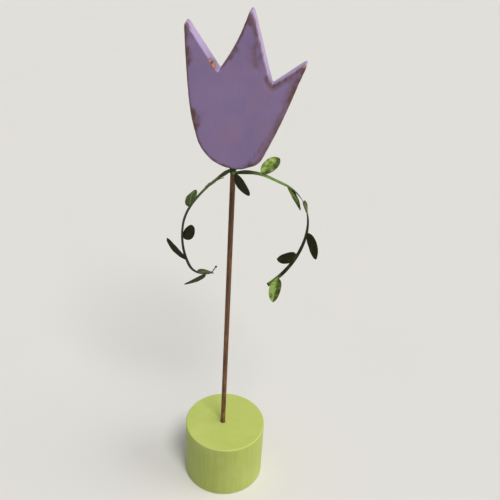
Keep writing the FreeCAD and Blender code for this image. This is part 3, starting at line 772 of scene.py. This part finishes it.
# Each leaf: name, arm, place along the arm as a share of its length, and in degrees the heading from +X,
# the rise over level and the roll about the leaf's own line.
LEAF_PLACE_SHARES = (
    ("leaf_right_1", "right", 0.136, 65.0, 7.0, 26.0),
    ("leaf_right_2", "right", 0.008, -56.0, -13.0, 157.0),
    ("leaf_right_3", "right", 0.300, 7.0, -60.0, 5.0),
    ("leaf_right_4", "right", 0.534, -103.0, 54.0, -69.0),
    ("leaf_right_5", "right", 0.639, -59.0, -29.0, -111.0),
    ("leaf_right_6", "right", 0.783, 149.0, -35.0, 137.0),
    ("leaf_right_7", "right", 0.935, -89.0, -17.0, 18.0),
    ("leaf_left_1", "left", 0.198, 70.0, -8.0, -35.0),
    ("leaf_left_2", "left", 0.342, 96.0, -2.0, -33.0),
    ("leaf_left_3", "left", 0.548, -44.0, 46.0, -101.0),
    ("leaf_left_4", "left", 0.731, 146.0, 21.0, -149.0),
    ("leaf_left_5", "left", 0.957, -107.0, 31.0, -2.0),
    ("leaf_left_6", "left", 0.918, 171.0, -42.0, -142.0),
)

# How much paler or deeper a leaf is than the others: its own tone, and painted shade on the deepest ones
LEAF_TONES_AND_SHADES = {"leaf_right_1": 0.03, "leaf_right_2": -0.42, "leaf_right_3": -0.08, "leaf_right_4": -0.12,
              "leaf_right_7": 0.05, "leaf_left_1": -0.05, "leaf_left_2": -0.12, "leaf_left_4": -0.35,
              "leaf_left_5": -0.25, "leaf_left_6": -0.37}
# Painted light and shade, as if the two halves of a leaf caught the light differently: how much paler or deeper
# the half on the leaf's own left is than the other half
LEAF_HALF_LIGHT_AND_SHADE = {"leaf_right_1": 0.07, "leaf_right_7": -0.12, "leaf_left_2": -0.04}


def leaf_half_width(share):
    """Half the leaf's width at a share of its length: pointed at the tip, narrow at the stalk"""
    if share <= 0:
        return STALK_WIDTH / 2
    span = LEAF_WIDEST_SHARE if share < LEAF_WIDEST_SHARE else 1 - LEAF_WIDEST_SHARE
    way = min(abs(share - LEAF_WIDEST_SHARE) / span, 1.0)
    power = LEAF_TIP_POWER if share > LEAF_WIDEST_SHARE else LEAF_BASE_POWER
    oval = (1 - way ** LEAF_OVAL_POWER) ** power
    stalk = STALK_WIDTH / 2 * max(0.0, 1 - share * 5)
    return max(LEAF_WIDTH / 2 * oval, stalk, LEAF_LEAST_HALF_WIDTH)


def make_leaf(number, row, top_cloth, under_cloth):
    name, arm, place_share, heading, tilt, roll = row
    heading, tilt, roll = (math.radians(angle) for angle in (heading, tilt, roll))
    course = Vector((math.cos(heading) * math.cos(tilt), math.sin(heading) * math.cos(tilt), math.sin(tilt)))
    level = course.cross(UP).normalized()
    top = level.cross(course) * math.cos(roll) + level * math.sin(roll)
    side = top.cross(course)
    root = arm_section(arm, arm_length(arm) * place_share)[0] + course * STALK_LENGTH
    whole = LEAF_LENGTH + STALK_LENGTH
    upper, under, veins, across, tones_and_shades = [], [], [], [], []
    for i in range(LEAF_ROWS + 1):
        x = -STALK_LENGTH + whole * i / LEAF_ROWS
        share = x / LEAF_LENGTH
        half = leaf_half_width(share)
        bow = LEAF_RISE * (1 - ((x - whole / 2 + STALK_LENGTH) / (whole / 2)) ** 2)
        for k in range(LEAF_COLUMNS + 1):
            t = 2 * k / LEAF_COLUMNS - 1
            y = t * half
            edge_wave = EDGE_WAVE * noise.noise(Vector((x / 4, t * 1.5, number * 7.0))) * abs(t) ** 2
            fold = LEAF_FOLD * abs(y) * rise(share, 0.0, 0.2)
            v = (x - VEIN_SLANT * abs(y)) / VEIN_PITCH
            ridge = max(0.0, math.cos(2 * math.pi * v)) ** 4 * rise(share, 0.02, 0.12) * (1 - abs(t) ** 4)
            rib = math.exp(-(y / MIDRIB_HALF_WIDTH) ** 2) * (1 - rise(share, 0.75, 1.0))
            raised = max(ridge * VEIN_HEIGHT, rib * MIDRIB_HEIGHT)
            height = bow + fold + edge_wave + raised
            thick = LEAF_THICKNESS * (1 - 0.5 * t * t)
            spot = root + course * x + side * y + top * height
            upper.append(spot)
            under.append(spot - top * thick)
            veins.append(max(ridge, rib))
            across.append(max(abs(t), rise(share, 0.9, 1.0)))
            # Painted light and shade that part the two halves of the leaf.
            half_share = max(-1.0, min(1.0, HALF_SHADE_STEEPNESS * t))
            tones_and_shades.append(LEAF_TONES_AND_SHADES.get(name, 0.0) + LEAF_HALF_LIGHT_AND_SHADE.get(name, 0.0) * half_share)
    points = upper + under
    back = len(upper)
    wide = LEAF_COLUMNS + 1
    faces, slots = [], []
    for i in range(LEAF_ROWS):
        for k in range(LEAF_COLUMNS):
            a = i * wide + k
            quad = (a, a + wide, a + wide + 1, a + 1)
            faces.append(quad)
            slots.append(0)
            faces.append(tuple(back + corner for corner in reversed(quad)))
            slots.append(1)
    rim = list(range(wide))
    rim += [i * wide + LEAF_COLUMNS for i in range(1, LEAF_ROWS + 1)]
    rim += [LEAF_ROWS * wide + k for k in range(LEAF_COLUMNS - 1, -1, -1)]
    rim += [i * wide for i in range(LEAF_ROWS - 1, 0, -1)]
    for i, here in enumerate(rim):
        there = rim[(i + 1) % len(rim)]
        faces.append((here, there, back + there, back + here))
        slots.append(0)
    values = {"vein": veins + veins, "across": across + across, "tone": tones_and_shades + tones_and_shades}
    return new_piece(name.replace("leaf", "cloth_leaf"), points, faces, [top_cloth, under_cloth], slots,
                     values, "garland", [name])


# Setting
CAMERA_PLACE = (0.0857, -0.4859, 0.5739)
CAMERA_HEADING = math.radians(8.65)
CAMERA_PITCH = math.radians(36.15)
CAMERA_ROLL = math.radians(-3.26)
CAMERA_LENS = 66.24
CAMERA_SENSOR = 36.0
FLOOR_REACH = 6.0
# How brightly the room lights things, and how bright it is where it is seen
ROOM_STRENGTH = 0.36
ROOM_STRENGTH_SEEN = 0.8


def make_camera():
    heading, pitch = CAMERA_HEADING, CAMERA_PITCH
    forward = Vector((-math.sin(heading) * math.cos(pitch), math.cos(heading) * math.cos(pitch), -math.sin(pitch)))
    right = Vector((math.cos(heading), math.sin(heading), 0))
    down = forward.cross(right)
    turned_right = right * math.cos(CAMERA_ROLL) + down * math.sin(CAMERA_ROLL)
    turned_down = down * math.cos(CAMERA_ROLL) - right * math.sin(CAMERA_ROLL)
    data = bpy.data.cameras.new("camera")
    data.lens = CAMERA_LENS
    data.sensor_width = CAMERA_SENSOR
    data.sensor_fit = "HORIZONTAL"
    data.clip_start = 0.01
    data.clip_end = 50
    camera = bpy.data.objects.new("camera", data)
    turn = Matrix((turned_right, -turned_down, -forward)).transposed()
    camera.matrix_world = Matrix.Translation(CAMERA_PLACE) @ turn.to_4x4()
    bpy.context.scene.collection.objects.link(camera)
    bpy.context.scene.camera = camera


def make_floor():
    material, tree, shader = new_material("pale_floor")
    soft = grain(tree, places(tree), 9, 2)
    tone = mixed(tree, ranged(tree, soft, 0.3, 0.7, 0.0, 0.05), FLOOR, (1, 1, 1, 1))
    rays = node(tree, "ShaderNodeLightPath")
    seen = worked(tree, "MAXIMUM", rays.outputs["Is Camera Ray"], rays.outputs["Is Glossy Ray"])
    tone = mixed(tree, seen, FLOOR_BOUNCE, tone)
    dress_shader(tree, shader, Base_Color=tone, Roughness=0.6, Specular_IOR_Level=0.3)
    mesh = bpy.data.meshes.new("floor")
    corners = [(x * FLOOR_REACH, y * FLOOR_REACH, 0) for x, y in ((-1, -1), (1, -1), (1, 1), (-1, 1))]
    mesh.from_pydata(corners, [], [(0, 1, 2, 3)])
    mesh.materials.append(material)
    floor = bpy.data.objects.new("floor", mesh)
    bpy.context.scene.collection.objects.link(floor)


def make_lamp(name, energy, spread, towards, tint):
    """A far soft lamp in a direction from the object"""
    lamp = bpy.data.lights.new(name, "SUN")
    lamp.energy = energy
    lamp.angle = math.radians(spread)
    lamp.color = tint
    made = bpy.data.objects.new(name, lamp)
    made.rotation_mode = "QUATERNION"
    made.rotation_quaternion = Vector(towards).to_track_quat("Z", "Y")
    bpy.context.scene.collection.objects.link(made)


def make_light():
    """A lamp high in front on the right, a weaker one low on the right, and pale light from all round"""
    make_lamp("window", 1.6, 20, (0.33, -0.48, 1.0), (1.0, 0.97, 0.93))
    make_lamp("side_window", 1.25, 50, (1.0, 0.02, 0.5), (1.0, 0.98, 0.96))
    world = bpy.data.worlds.new("room")
    bpy.context.scene.world = world
    world.use_nodes = True
    tree = world.node_tree
    background = tree.nodes["Background"]
    background.inputs["Color"].default_value = (0.93, 0.96, 1.0, 1.0)
    rays = node(tree, "ShaderNodeLightPath")
    seen = worked(tree, "MAXIMUM", rays.outputs["Is Camera Ray"], rays.outputs["Is Glossy Ray"])
    seen = worked(tree, "MAXIMUM", seen, rays.outputs["Is Transmission Ray"])
    tree.links.new(ranged(tree, seen, 0.0, 1.0, ROOM_STRENGTH, ROOM_STRENGTH_SEEN), background.inputs["Strength"])


def give_material(node_name, material):
    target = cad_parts[node_name]
    for index in range(len(target.material_slots)):
        target.material_slots[index].link = "OBJECT"
        target.material_slots[index].material = material


make_camera()
make_floor()
make_light()
bpy.context.scene.view_settings.view_transform = "Standard"

give_material("base_block", lime_paint())
give_material("stem_rod", brown_stick())
head = make_head(purple_paint())
head.data.set_sharp_from_angle(angle=SHARP_ANGLE)
make_tape(tape_satin("green_tape", TAPE_GREEN, TAPE_PALE, TAPE_SHADED, "painted_shade", 0.15),
          tape_satin("green_tape_inside", TAPE_INSIDE, LEAF_INSIDE_PALE, TAPE_GREEN, "painted_light", 0.08))
leaf_top = leaf_cloth("leaf_top", LEAF_GREEN, LEAF_PALE, LEAF_DEEP, 0.55, 0.15)
leaf_under = leaf_cloth("leaf_underside", LEAF_INSIDE, LEAF_INSIDE_PALE, TAPE_INSIDE, 0.75, 0.08)
for leaf_number, leaf_row in enumerate(LEAF_PLACE_SHARES):
    make_leaf(leaf_number, leaf_row, leaf_top, leaf_under)
